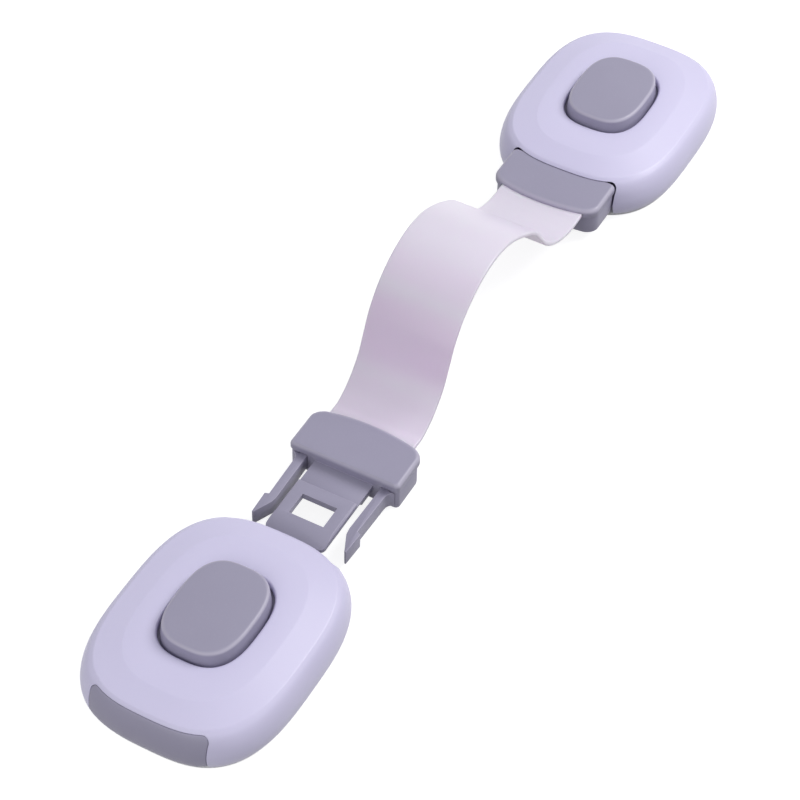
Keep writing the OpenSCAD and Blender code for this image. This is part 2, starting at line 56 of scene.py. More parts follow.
# Heads
HEAD_L, HEAD_W, HEAD_H = 53.2, 42.0, 11.9
HEAD_SQUARE, EDGE_SOFTEN, EDGE_DEPTH = 3.05, 0.2, 7.1
HEAD_X = 84.8
PAD_T, SHELL_WALL = 0.9, 1.6
ROOF_Z = HEAD_H - SHELL_WALL
# The shell's edge from its foot to the plateau: how far in, as a share of EDGE_DEPTH, and how high, as a
# share of the height above the pad
EDGE = [(0.11, 0), (0.025, 0.15), (0, 0.32), (0.035, 0.5), (0.1, 0.636),
        (0.195, 0.745), (0.335, 0.823), (1, 0.955)]
# How far the inner skin lies below each of those points, as a share of the wall
INNER_DROP = [0, 0.3, 0.3, 1, 1, 1, 1, 1]
FOOT_R = 0.25
SLOT_W, SLOT_H, SLOT_ROUND, SLOT_END = 25.3, 9.36, 1.5, 17.8
MOUTH_R = 0.14
LEDGE_Z = 2.15
PEG_X, PEG_Y, PEG_R, PEG_FOOT = 8.51, 14.65, 1.0, 4.3
PAD_INSET = 1.2
OPENING_L, OPENING_W, BUTTON_SQUARE = 23.9, 18.1, 2.84
LIP_R = 0.5
BUTTON_TOP, BUTTON_GAP = 14.5, 0.45
BUTTON_DRAFT, BUTTON_ROUND, BUTTON_CROWN = 0.35, 0.75, 0.12
SKIRT_T, FLANGE_OUT, FLANGE_T, FLANGE_Z, BUTTON_CEILING = 1.75, 0.9, 0.7, 9.4, 13.1
POST_FRONT, POST_BACK, POST_HALF_W, POST_FOOT = 1.8, -0.8, 2.2, 6.97
SPIGOT_R, SPIGOT_FOOT = 1.5, 11.7
PRESS_TRAVEL, RELEASE_TRAVEL = 1.8, 2.4
CAP_FOOT_T, CAP_BACK, CAP_GAP, CAP_FOOT, CAP_FOOT_R = 2, 22.6, 0.08, 1.05, 0.3
PRONG_ROOT, PRONG_END, PRONG_IN, PRONG_OUT, PRONG_TOP = -22.8, 5.45, 9.65, 12.5, 5.55
WEDGE_OUT = 10.75
HOOK_X, HOOK_T, HOOK_Y, HOOK_W, HOOK_TOP = -21.36, 1.2, 12.78, 0.94, 4.35
SEAT_END, SEAT_R = -21.8, 1.47
PRESS_COIL_R, PRESS_WIRE, PRESS_TURNS, PRESS_COIL_H = 2.1, 0.5, 7.0, 11.0
PRESS_COIL_X, PRESS_COIL_FOOT = -6.2, 2.05
RETURN_COIL_R, RETURN_WIRE, RETURN_TURNS, RETURN_COIL_H = 1.8, 0.45, 5.0, 5.8
RETURN_COIL_X, RETURN_COIL_Z = -22.55, 4.9

# Connectors
NEAR_TIP_X, FAR_TIP_X, SEAT_Z = -56.9, 81.4, 2.15
COVER_X, COVER_END, COVER_W, COVER_BULGE, FRONT_R, BACK_R = 19.8, 32.3, 25.0, 1.9, 1.0, 2.6
CONNECTOR_H, SEAM_H = 7.1, 5.1
COVER_ROUND, BACK_ROUND, SIDE_ROUND, FRONT_ROUND = 1.1, 1.3, 0.9, 0.6
STRAP_W, STRAP_T, HUMP_H = 19.6, 1.0, 24.19
STRAP_HOLD, STRAP_Z, STRAP_SOFTEN, NOTCH_GAP = 8.4, 5.65, 0.35, 0.15
STEP_X, TONGUE_TOP, STEP_ROUND = 13.65, 5.2, 0.35
# The strap's hump: share of the way from cover to cover, and share of HUMP_H
HUMP = [(0, 0), (0.035, 0), (0.09, 0.08), (0.145, 0.247), (0.178, 0.442), (0.208, 0.626),
        (0.255, 0.798), (0.32, 0.928), (0.385, 0.99), (0.445, 1), (0.51, 0.963), (0.58, 0.863),
        (0.66, 0.703), (0.7, 0.597), (0.735, 0.452), (0.77, 0.306), (0.81, 0.192), (0.86, 0.098),
        (0.92, 0.027), (0.97, 0)]

# How much the edges of each kind of piece are softened, and the angle from which an edge stays sharp
SOFT_PLATE, SOFT_LEAF, SOFT_BASE, SOFT_ARM, SOFT_INNER = 0.15, 0.12, 0.2, 0.26, 0.15
SHARP = 38

OUTLINE_POINTS = 288
BUTTON_POINTS = 192
STAGE_HALF, STAGE_Z = 9000, -0.05


# Meshes

def new_piece(name, vertices, faces):
    """Mesh object at the origin, from points in millimetres."""
    mesh = bpy.data.meshes.new(name)
    mesh.from_pydata((np.asarray(vertices, float) * MM).tolist(), [], faces)
    mesh.validate()
    piece = bpy.data.objects.new(name, mesh)
    bpy.context.scene.collection.objects.link(piece)
    return piece


def edit(piece, change):
    """Runs change on the piece's mesh."""
    bm = bmesh.new()
    bm.from_mesh(piece.data)
    change(bm)
    bm.to_mesh(piece.data)
    bm.free()
    return piece


def outward(piece):
    """Merges doubles and points every face outwards."""
    def change(bm):
        bmesh.ops.remove_doubles(bm, verts=bm.verts, dist=0.002 * MM)
        bmesh.ops.recalc_face_normals(bm, faces=bm.faces)
        if bm.calc_volume(signed=True) < 0:
            bmesh.ops.reverse_faces(bm, faces=bm.faces)
    return edit(piece, change)


def smooth(piece, angle=SHARP):
    """Smooth shading, with edges over an angle kept sharp."""
    piece.data.shade_smooth()
    piece.data.set_sharp_from_angle(angle=math.radians(angle))
    return piece


def join(name, *pieces):
    """One piece out of several."""
    bm = bmesh.new()
    for piece in pieces:
        bm.from_mesh(piece.data)
        bpy.data.objects.remove(piece)
    mesh = bpy.data.meshes.new(name)
    bm.to_mesh(mesh)
    bm.free()
    piece = bpy.data.objects.new(name, mesh)
    bpy.context.scene.collection.objects.link(piece)
    return piece


def evaluated(piece):
    """The piece's mesh with its modifiers applied, and the modifiers removed."""
    shape = piece.evaluated_get(bpy.context.evaluated_depsgraph_get())
    mesh = bpy.data.meshes.new_from_object(shape)
    name = mesh.name = piece.name
    bpy.data.objects.remove(piece)
    result = bpy.data.objects.new(name, mesh)
    bpy.context.scene.collection.objects.link(result)
    return result


def cut(piece, *cutters):
    """Cuts the cutters out of the piece."""
    for cutter in cutters:
        modifier = piece.modifiers.new("Cut", "BOOLEAN")
        modifier.operation = "DIFFERENCE"
        modifier.solver = "EXACT"
        modifier.object = cutter
    bpy.context.view_layer.update()
    piece = evaluated(piece)
    for cutter in cutters:
        bpy.data.objects.remove(cutter)
    return piece


def rounded(piece, width, segments=2, angle=30):
    """Bevels every edge over an angle, and marks the middle line of the bevels for a painted highlight."""
    piece.data.materials.clear()
    for _ in range(2):
        piece.data.materials.append(None)
    modifier = piece.modifiers.new("Round", "BEVEL")
    modifier.material = 1
    modifier.width = width * MM
    modifier.segments = segments
    modifier.limit_method = "ANGLE"
    modifier.angle_limit = math.radians(angle)
    modifier.use_clamp_overlap = True
    bpy.context.view_layer.update()

    def change(bm):
        # Painted highlight: the middle line of each bevel is marked to be drawn paler
        edge_highlight = bm.verts.layers.float.get("edge_highlight") or bm.verts.layers.float.new("edge_highlight")
        for v in bm.verts:
            v[edge_highlight] = max(v[edge_highlight], float(all(f.material_index == 1 for f in v.link_faces)))
        for f in bm.faces:
            f.material_index = 0
    return edit(evaluated(piece), change)


def paint_rim_highlight(piece, low, high):
    """Marks the rounding between two heights for a painted highlight, most at two thirds of its height."""
    def change(bm):
        edge_highlight = bm.verts.layers.float.get("edge_highlight") or bm.verts.layers.float.new("edge_highlight")
        for v in bm.verts:
            # Painted highlight, strongest at two thirds of the rounding's height
            t = (v.co.z / MM - low) / (high - low)
            if 0.01 < t < 0.99:
                v[edge_highlight] = 6.75 * t * t * (1 - t)
    return edit(piece, change)


def loft(name, rings, closed=False):
    """Surface over rings that all have the same count of points, capped unless it is closed."""
    rings = np.asarray(rings, float)
    m, n = rings.shape[:2]
    faces = []
    for j in range(m if closed else m - 1):
        a, b = j * n, (j + 1) % m * n
        faces += [[a + i, a + (i + 1) % n, b + (i + 1) % n, b + i] for i in range(n)]
    if not closed:
        faces += [list(range(n))[::-1], [(m - 1) * n + i for i in range(n)]]
    return outward(new_piece(name, rings.reshape(-1, 3), faces))


def extrude(name, outline, z0, z1):
    """Upright prism on an outline."""
    return loft(name, [[(x, y, z) for x, y in outline] for z in (z0, z1)])


def box(name, low, high):
    return extrude(name, [(low[0], low[1]), (high[0], low[1]), (high[0], high[1]), (low[0], high[1])],
                   low[2], high[2])


def tube(name, points, radius, sides=24):
    """Round bar along a straight line between two points."""
    a, b = (np.array(p, float) for p in points)
    t = (b - a) / np.linalg.norm(b - a)
    u = np.cross(t, [0, 0, 1] if abs(t[2]) < 0.9 else [1, 0, 0])
    u /= np.linalg.norm(u)
    v = np.cross(t, u)
    ring = [radius * (math.cos(s) * u + math.sin(s) * v)
            for s in np.linspace(0, 2 * math.pi, sides, endpoint=False)]
    return loft(name, [[a + r for r in ring], [b + r for r in ring]])


def copy_of_node(name, node):
    """Merged copy of a CAD node, with its flat faces whole."""
    piece = bpy.data.objects.new(name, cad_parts[node].data.copy())
    bpy.context.scene.collection.objects.link(piece)

    def change(bm):
        bmesh.ops.remove_doubles(bm, verts=bm.verts, dist=0.001 * MM)
        bmesh.ops.dissolve_limit(bm, angle_limit=math.radians(0.5), verts=bm.verts, edges=bm.edges)
    return edit(piece, change)


def spline(points, steps):
    """Smooth curve through points, spaced by their distances."""
    p = np.asarray(points, float)
    knots = np.concatenate([[0], np.cumsum(np.linalg.norm(np.diff(p, axis=0), axis=1))])
    slopes = np.empty_like(p)
    slopes[1:-1] = (p[2:] - p[:-2]) / (knots[2:] - knots[:-2])[:, None]
    slopes[0] = (p[1] - p[0]) / (knots[1] - knots[0])
    slopes[-1] = (p[-1] - p[-2]) / (knots[-1] - knots[-2])
    out = []
    for i in range(len(p) - 1):
        h = knots[i + 1] - knots[i]
        for t in np.linspace(0, 1, steps, endpoint=False):
            out.append((2 * t**3 - 3 * t**2 + 1) * p[i] + (t**3 - 2 * t**2 + t) * h * slopes[i]
                       + (3 * t**2 - 2 * t**3) * p[i + 1] + (t**3 - t**2) * h * slopes[i + 1])
    return np.array(out + [p[-1]])


# Outlines of a head

def oval(a, b, squareness, count=OUTLINE_POINTS):
    """Squarish oval with evenly spaced points."""
    t = np.linspace(0, 2 * math.pi, 4001)
    x = a * np.sign(np.cos(t)) * np.abs(np.cos(t)) ** (2 / squareness)
    y = b * np.sign(np.sin(t)) * np.abs(np.sin(t)) ** (2 / squareness)
    s = np.concatenate([[0], np.cumsum(np.hypot(np.diff(x), np.diff(y)))])
    even = np.linspace(0, s[-1], count, endpoint=False)
    return np.stack([np.interp(even, s, x), np.interp(even, s, y)], axis=1)


def raised(outline, z):
    return np.column_stack([outline, np.full(len(outline), float(z))])


def shell_oval(inset):
    return oval(HEAD_L / 2 - inset, HEAD_W / 2 - inset, HEAD_SQUARE - EDGE_SOFTEN * inset / EDGE_DEPTH)


def opening_oval(grow):
    return oval(OPENING_L / 2 + grow, OPENING_W / 2 + grow, BUTTON_SQUARE)


# The shell's edge: how far in from the widest outline, and height. It is round up to a crease,
# and a flat band leads from there to the plateau
EDGE_POINTS = [(EDGE_DEPTH * s, PAD_T + (HEAD_H - PAD_T) * h) for s, h in EDGE]
CREASE, PLATEAU = (np.array(p) for p in EDGE_POINTS[-2:])
EDGE_LINE = np.concatenate([spline(EDGE_POINTS[:-1], 5),
                            [CREASE + (PLATEAU - CREASE) * t for t in (0.03, 0.35, 0.7, 0.97, 1)]])


def surface_x(y, z):
    """Where the shell's outside lies at a y and a height, on the side of +X."""
    inset = np.interp(z, EDGE_LINE[:, 1], EDGE_LINE[:, 0])
    n = HEAD_SQUARE - EDGE_SOFTEN * inset / EDGE_DEPTH
    return (HEAD_L / 2 - inset) * (1 - (np.abs(y) / (HEAD_W / 2 - inset)) ** n) ** (1 / n)


def arch(width, low, high, top_r, bottom_r, inset, steps=10):
    """Rounded rectangle in y and z, drawn in by an inset."""
    points = []
    half = width / 2
    for y0, z0, r, start in ((half, low, bottom_r, -90), (half, high, top_r, 0),
                             (-half, high, top_r, 90), (-half, low, bottom_r, 180)):
        r_in = max(r - inset, 0.01)
        keep = max(r, inset + 0.01)
        cy = y0 - math.copysign(keep, y0)
        cz = z0 + keep if z0 == low else z0 - keep
        for a in np.linspace(start, start + 90, steps):
            points.append((cy + r_in * math.cos(math.radians(a)), cz + r_in * math.sin(math.radians(a))))
    # Points along the straight sides too
    out = []
    for i, p in enumerate(points):
        q = points[(i + 1) % len(points)]
        if (i + 1) % steps:
            out.append(p)
        else:
            out += [tuple(np.array(p) + (np.array(q) - np.array(p)) * k / 16) for k in range(16)]
    return np.array(out)


def sunk_at(distance):
    """How far the slot's rounded rim has dropped back at a distance from it."""
    return MOUTH_R - math.sqrt(max(MOUTH_R ** 2 - (MOUTH_R - min(distance, MOUTH_R)) ** 2, 0))


def slot_cutter(name, end):
    """Cutter for a head's end slot, whose mouth is rounded where it meets the shell's outside."""
    rings = []
    for depth in [None, 1.2, 0.14, 0.1, 0.06, 0.03, 0.01, 0, -1]:
        in_mouth = MOUTH_R if depth is None else min(max(depth, 0), MOUTH_R)
        yz = arch(SLOT_W, -1, SLOT_H, SLOT_ROUND, 0.02, -sunk_at(in_mouth))
        x = np.full(len(yz), SLOT_END) if depth is None else surface_x(yz[:, 0], yz[:, 1]) - depth
        rings.append(np.column_stack([end * x, yz]))
    rings.append(rings[-1] * [0, 1, 1] + [end * (HEAD_L / 2 + 3), 0, 0])
    return loft(name, rings)


def make_shell():
    """Moulded skin of a head, in the head's own place, with its mouth towards +X."""
    foot = [raised(shell_oval(EDGE_DEPTH * EDGE[0][0] + FOOT_R * (1 - math.sin(a))),
                   PAD_T + FOOT_R * (1 - math.cos(a))) for a in np.radians([0, 30, 60])]
    side = [raised(shell_oval(inset), z) for inset, z in EDGE_LINE[1:]]
    edge_top, lip_top = side[-1], raised(opening_oval(LIP_R), HEAD_H)
    plateau = []
    for t in (0.02, 0.1, 0.2, 0.33, 0.46, 0.6, 0.74, 0.88):
        ring = edge_top + (lip_top - edge_top) * t
        ring[:, 2] = edge_top[0, 2] + (HEAD_H - edge_top[0, 2]) * (1 - (1 - t) ** 1.8)
        plateau.append(ring)
    lip = [raised(opening_oval(LIP_R * (1 - math.sin(a))), HEAD_H - LIP_R * (1 - math.cos(a)))
           for a in np.radians([0, 15, 30, 45, 60, 75, 90])]
    inside = [raised(opening_oval(0), z) for z in (ROOF_Z + 0.7, ROOF_Z)]
    for (s, h), drop in list(zip(EDGE, INNER_DROP))[::-1]:
        inside.append(raised(shell_oval(EDGE_DEPTH * s + SHELL_WALL),
                             PAD_T + (HEAD_H - PAD_T) * h - drop * SHELL_WALL))
    shell = loft("shell", foot + side + plateau + lip + inside, closed=True)
    shell = cut(shell, slot_cutter("mouth", 1), slot_cutter("rear", -1))
    pegs = [tube("peg", [(x, y, PEG_FOOT), (x, y, ROOF_Z - 0.1)], PEG_R)
            for x in (-PEG_X, PEG_X) for y in (-PEG_Y, PEG_Y)]
    return smooth(join("shell", outward(shell), *pegs))


def make_button():
    """Button cap with its flange, post and the spring's spigot."""
    def outline(inset):
        return oval(OPENING_L / 2 - BUTTON_GAP - inset, OPENING_W / 2 - BUTTON_GAP - inset, BUTTON_SQUARE,
                    BUTTON_POINTS)
    top, neck = BUTTON_TOP - BUTTON_CROWN, FLANGE_Z + FLANGE_T
    wall_h = top - BUTTON_ROUND - neck
    rings = [raised(outline(SKIRT_T), FLANGE_Z), raised(outline(-FLANGE_OUT), FLANGE_Z),
             raised(outline(-FLANGE_OUT), neck), raised(outline(0), neck)]
    rings += [raised(outline(BUTTON_DRAFT * k), neck + wall_h * k) for k in (0.5, 1)]
    rings += [raised(outline(BUTTON_DRAFT + BUTTON_ROUND * (1 - math.cos(a))),
                     top - BUTTON_ROUND * (1 - math.sin(a))) for a in np.radians([15, 30, 45, 60, 75, 90])]
    rim = outline(BUTTON_DRAFT + BUTTON_ROUND)
    for t in (0.08, 0.2, 0.35, 0.5, 0.65, 0.8, 0.92, 0.99):
        rings.append(raised(rim * (1 - t), top + BUTTON_CROWN * (1 - (1 - t) ** 2)))
    ceiling = [raised(outline(SKIRT_T) * k, BUTTON_CEILING) for k in (0.02, 1)]
    cap = loft("cap", ceiling + rings)
    sunk = BUTTON_CEILING + 0.2
    post = box("post", (POST_BACK, -POST_HALF_W, POST_FOOT), (POST_FRONT, POST_HALF_W, sunk))
    spigot = tube("spigot", [(PRESS_COIL_X, 0, SPIGOT_FOOT), (PRESS_COIL_X, 0, sunk)], SPIGOT_R)
    button = smooth(join("push_button", cap, rounded(post, SOFT_INNER), rounded(spigot, SOFT_INNER)))
    # Painted highlight along the rounding of the cap's top edge
    return paint_rim_highlight(button, top - BUTTON_ROUND, top)


def make_pad():
    """Adhesive foam pad, cut square with slightly soft edges."""
    rings = [raised(shell_oval(PAD_INSET + inset), z) for inset, z in
             ((0.12, 0), (0.03, 0.05), (0, 0.15), (0.03, 0.45), (0, 0.75), (0.03, 0.85), (0.12, 0.9))]
    return smooth(loft("adhesive_pad", rings), 40)


def make_slider():
    """Release slider: a cap flush in the head's rear end, with two prongs."""
    def section(inset):
        return arch(SLOT_W - 2 * CAP_GAP, CAP_FOOT, SLOT_H - CAP_GAP, SLOT_ROUND - CAP_GAP, CAP_FOOT_R, inset)
    rings = []
    for x, inset in ((CAP_BACK, 0.12), (CAP_BACK + 0.12, 0)):
        yz = section(inset)
        rings.append(np.column_stack([np.full(len(yz), -x), yz]))
    for inset in (0, 0.015, 0.045, 0.09, 0.14, 0.4, 0.8, 1.3, 1.9, 2.5, 3.1, 3.6, 3.9, 4.05, 4.12):
        yz = section(inset)
        rings.append(np.column_stack([sunk_at(inset) - surface_x(yz[:, 0], yz[:, 1]), yz]))
    foot = box("foot", (CAP_FOOT_T - HEAD_L / 2, -HEAD_W, -1), (0, HEAD_W, LEDGE_Z))
    pieces = [cut(loft("cap", rings), foot)]
    for side in (-1, 1):
        prong = extrude("prong", [(x, side * y) for x, y in (
            (PRONG_ROOT, PRONG_IN), (PRONG_END - RELEASE_TRAVEL, PRONG_IN), (PRONG_END, WEDGE_OUT),
            (PRONG_END, PRONG_OUT), (PRONG_ROOT, PRONG_OUT))], LEDGE_Z, PRONG_TOP)
        hook = box("hook", (HOOK_X, side * HOOK_Y - HOOK_W / 2, LEDGE_Z),
                   (HOOK_X + HOOK_T, side * HOOK_Y + HOOK_W / 2, HOOK_TOP))
        pieces += [rounded(prong, SOFT_INNER), hook]
    pieces.append(tube("seat", [(PRONG_ROOT, 0, RETURN_COIL_Z), (SEAT_END, 0, RETURN_COIL_Z)], SEAT_R))
    return smooth(join("release_slider", *pieces))


def cover_ring(z, back=0, side=0, front=0):
    """Outline of the connector's cover, drawn in at its back, sides and front. Its back edge bulges."""
    points = []
    half, length = COVER_W / 2, COVER_END - COVER_X
    for cx, cy, r, start in ((COVER_END - BACK_R, half - BACK_R, BACK_R, 0),
                             (COVER_X + FRONT_R, half - FRONT_R, FRONT_R, 90),
                             (COVER_X + FRONT_R, FRONT_R - half, FRONT_R, 180),
                             (COVER_END - BACK_R, BACK_R - half, BACK_R, 270)):
        points += [(cx + r * math.cos(math.radians(a)), cy + r * math.sin(math.radians(a)))
                   for a in np.linspace(start, start + 90, 12)]
    ring = []
    for i, p in enumerate(points):
        q = points[(i + 1) % len(points)]
        for k in range(1 if (i + 1) % 12 else 14):
            x, y = np.array(p) + (np.array(q) - np.array(p)) * k / 14
            x = COVER_X + front + (x - COVER_X) * (length - front - back) / length
            y *= (half - side) / half
            ring.append((x - COVER_BULGE * (x - COVER_X) / length * (2 * y / COVER_W) ** 2, y, z))
    return ring


def make_cover():
    """Connector's cover, over the strap's end."""
    rings = [cover_ring(SEAM_H, 0.15, 0.15, 0.15), cover_ring(SEAM_H + 0.04, 0.04, 0.04, 0.04),
             cover_ring(SEAM_H + 0.15)]
    for a in np.radians(np.linspace(0, 90, 11)):
        c = 1 - math.cos(a)
        rings.append(cover_ring(CONNECTOR_H - COVER_ROUND * (1 - math.sin(a)), BACK_ROUND * c,
                                SIDE_ROUND * c, FRONT_ROUND * c))
    cover = loft("cover", rings)
    notch = box("notch", (COVER_END - STRAP_HOLD - NOTCH_GAP, -STRAP_W / 2 - NOTCH_GAP, SEAM_H - 1),
                (COVER_END + 1, STRAP_W / 2 + NOTCH_GAP, SEAM_H + STRAP_T + 0.1))
    cover = smooth(outward(cut(cover, notch)))
    # Painted highlight along the rounding of the cover's top edge
    return paint_rim_highlight(cover, CONNECTOR_H - COVER_ROUND, CONNECTOR_H)


# Geometry trees

class Shape:
    """A geometry tree that is built node by node, with named inputs for its sizes."""

    def __init__(self, name, **sizes):
        self.tree = bpy.data.node_groups.new(name, "GeometryNodeTree")
        self.tree.interface.new_socket("Geometry", in_out="INPUT", socket_type="NodeSocketGeometry")
        self.tree.interface.new_socket("Geometry", in_out="OUTPUT", socket_type="NodeSocketGeometry")
        for label, value in sizes.items():
            kind = "NodeSocketInt" if isinstance(value, int) else "NodeSocketFloat"
            self.tree.interface.new_socket(label, in_out="INPUT", socket_type=kind).default_value = value
        self.sizes = sizes
        self.inputs = self.tree.nodes.new("NodeGroupInput").outputs

    def node(self, kind, settings=None, sockets=None):
        made = self.tree.nodes.new(kind)
        for key, value in (settings or {}).items():
            setattr(made, key, value)
        for key, value in (sockets or {}).items():
            if isinstance(value, bpy.types.NodeSocket):
                self.tree.links.new(value, made.inputs[key])
            else:
                made.inputs[key].default_value = value
        return made

    def finish(self, geometry, material):
        flat = self.node("GeometryNodeRealizeInstances", sockets={"Geometry": geometry})
        done = self.node("GeometryNodeSetMaterial", sockets={
            "Geometry": flat.outputs[0], "Material": material})
        end = self.node("NodeGroupOutput")
        self.tree.links.new(done.outputs[0], end.inputs[0])

    def build(self, name, base=None, **sizes):
        """Plain mesh of the tree at some sizes. base is the object data that it starts from."""
        piece = bpy.data.objects.new(name, base or bpy.data.meshes.new(name))
        bpy.context.scene.collection.objects.link(piece)
        modifier = piece.modifiers.new(name, "NODES")
        modifier.node_group = self.tree
        for item in self.tree.interface.items_tree:
            if item.in_out == "INPUT" and item.name in self.sizes:
                modifier[item.identifier] = sizes.get(item.name, self.sizes[item.name])
        bpy.context.view_layer.update()
        return evaluated(piece)


def spring_tree(material):
    """Coil of round wire about Z, standing on Z = 0."""
    shape = Shape("Coil spring", Radius=PRESS_COIL_R * MM, Wire=PRESS_WIRE * MM, Turns=PRESS_TURNS,
                  Height=PRESS_COIL_H * MM)
    size = shape.inputs
    half_wire = shape.node("ShaderNodeMath", {"operation": "MULTIPLY"}, {0: size["Wire"], 1: 0.5})
    rise = shape.node("ShaderNodeMath", {"operation": "SUBTRACT"}, {0: size["Height"], 1: size["Wire"]})
    coil = shape.node("GeometryNodeCurveSpiral", sockets={
        "Resolution": 40, "Rotations": size["Turns"], "Start Radius": size["Radius"],
        "End Radius": size["Radius"], "Height": rise.outputs[0]})
    wire = shape.node("GeometryNodeCurvePrimitiveCircle", sockets={
        "Resolution": 12, "Radius": half_wire.outputs[0]})
    swept = shape.node("GeometryNodeCurveToMesh", sockets={
        "Curve": coil.outputs[0], "Profile Curve": wire.outputs[0], "Fill Caps": True})
    up = shape.node("ShaderNodeCombineXYZ", sockets={"Z": half_wire.outputs[0]})
    stood = shape.node("GeometryNodeTransform", sockets={
        "Geometry": swept.outputs[0], "Translation": up.outputs[0]})
    shape.finish(stood.outputs[0], material)
    return shape


def strap_tree(material):
    """Flat strap with softened edges along its middle line."""
    shape = Shape("Strap", Width=STRAP_W * MM, Thickness=STRAP_T * MM, Softening=STRAP_SOFTEN * MM)
    size = shape.inputs
    section = shape.node("GeometryNodeCurvePrimitiveQuadrilateral",
                         sockets={"Width": size["Width"], "Height": size["Thickness"]})
    soft = shape.node("GeometryNodeFilletCurve", {"mode": "POLY"},
                      {"Curve": section.outputs[0], "Count": 4, "Radius": size["Softening"]})
    swept = shape.node("GeometryNodeCurveToMesh", sockets={
        "Curve": size["Geometry"], "Profile Curve": soft.outputs[0], "Fill Caps": True})
    shape.finish(swept.outputs[0], material)
    return shape


# Finishes

class Value:
    """A socket of a shader tree, with Python's operators."""

    def __init__(self, finish, socket):
        self.finish, self.socket = finish, socket

    def _math(self, operation, *parts):
        return self.finish.node("ShaderNodeMath", {"operation": operation}, dict(enumerate(parts)))

    def __add__(self, other):
        return self._math("ADD", self, other)

    __radd__ = __add__

    def __mul__(self, other):
        return self._math("MULTIPLY", self, other)

    __rmul__ = __mul__

    def __sub__(self, other):
        return self._math("SUBTRACT", self, other)

    def __rsub__(self, other):
        return self._math("SUBTRACT", other, self)

    def above(self, edge, width):
        """0 below edge, 1 above edge + width, and smooth between."""
        return self.finish.node("ShaderNodeMapRange", {"interpolation_type": "SMOOTHSTEP"},
                                {"Value": self, "From Min": edge, "From Max": edge + width})


class Finish:
    """A material that is built node by node."""

    def __init__(self, name):
        self.material = bpy.data.materials.new(name)
        self.material.use_nodes = True
        self.tree = self.material.node_tree
        self.tree.nodes.clear()
        self.place = self.node("ShaderNodeTexCoord", output="Object")

    def node(self, kind, settings=None, sockets=None, output=0):
        made = self.tree.nodes.new(kind)
        for key, value in (settings or {}).items():
            setattr(made, key, value)
        for key, value in (sockets or {}).items():
            if isinstance(value, Value):
                self.tree.links.new(value.socket, made.inputs[key])
            else:
                made.inputs[key].default_value = value
        return Value(self, made.outputs[output])

    def noise(self, size, detail=2, roughness=0.5, place=None):
        """Noise from 0 to 1 whose features are about size millimetres."""
        return self.node("ShaderNodeTexNoise", sockets={
            "Vector": place or self.place, "Scale": 1 / (size * MM), "Detail": detail,
            "Roughness": roughness})

    def mix(self, share, a, b):
        """Colour a where share is 0, and b where it is 1."""
        a, b = (c if isinstance(c, Value) else (*c, 1) for c in (a, b))
        return self.node("ShaderNodeMix", {"data_type": "RGBA"}, {"Factor": share, 6: a, 7: b}, output=2)

    def bump(self, height, depth, below=None):
        """Normal for a height map that is depth millimetres deep."""
        sockets = {"Height": height, "Distance": depth * MM, "Strength": 1.0}
        if below:
            sockets["Normal"] = below
        return self.node("ShaderNodeBump", sockets=sockets)

    def done(self, **sockets):
        shader = self.node("ShaderNodeBsdfPrincipled", sockets={
            key.replace("_", " "): value for key, value in sockets.items()})
        end = self.tree.nodes.new("ShaderNodeOutputMaterial")
        self.tree.links.new(shader.socket, end.inputs["Surface"])
        return self.material


def srgb(r, g, b):
    """Linear colour of an 8-bit display colour."""
    shares = (r / 255, g / 255, b / 255)
    return tuple(c / 12.92 if c <= 0.04045 else ((c + 0.055) / 1.055) ** 2.4 for c in shares)


def white_moulding():
    """Satin white moulding with a cool lilac cast."""
    f = Finish("White moulding")
    cloud = f.noise(22, 2, 0.5)
    color = f.mix(cloud, srgb(213, 208, 237), srgb(218, 213, 241))
    peel = f.bump(f.noise(1.6, 3, 0.55), 0.006)
    grain = f.bump(f.noise(0.18, 1, 0.5), 0.0012, peel)
    return f.done(Base_Color=color, Roughness=0.35 + 0.08 * f.noise(9, 2), Normal=grain, IOR=1.5,
                  Subsurface_Weight=0.06, Subsurface_Radius=(1.0, 0.8, 0.9), Subsurface_Scale=0.0015)


def grey_moulding():
    """Matt warm grey moulding with a fine spark-eroded grain, and a painted highlight along its rounded
    edges.
    """
    f = Finish("Grey moulding")
    cloud = f.noise(14, 2, 0.5)
    speck = f.noise(0.35, 2, 0.6).above(0.58, 0.12)
    color = f.mix(cloud, srgb(153, 149, 171), srgb(159, 155, 177))
    color = f.mix(speck * 0.16, color, srgb(172, 169, 187))
    # Painted highlight: a paler colour, a little glossier, along the marked edge roundings
    edge_highlight = f.node("ShaderNodeAttribute", {"attribute_name": "edge_highlight"}, output="Fac")
    color = f.mix(edge_highlight * 0.7, color, srgb(198, 193, 211))
    grain = f.bump(f.noise(0.28, 3, 0.65), 0.012)
    return f.done(Base_Color=color, Roughness=0.42 + 0.12 * f.noise(3, 3) - 0.1 * edge_highlight, Normal=grain, IOR=1.5)


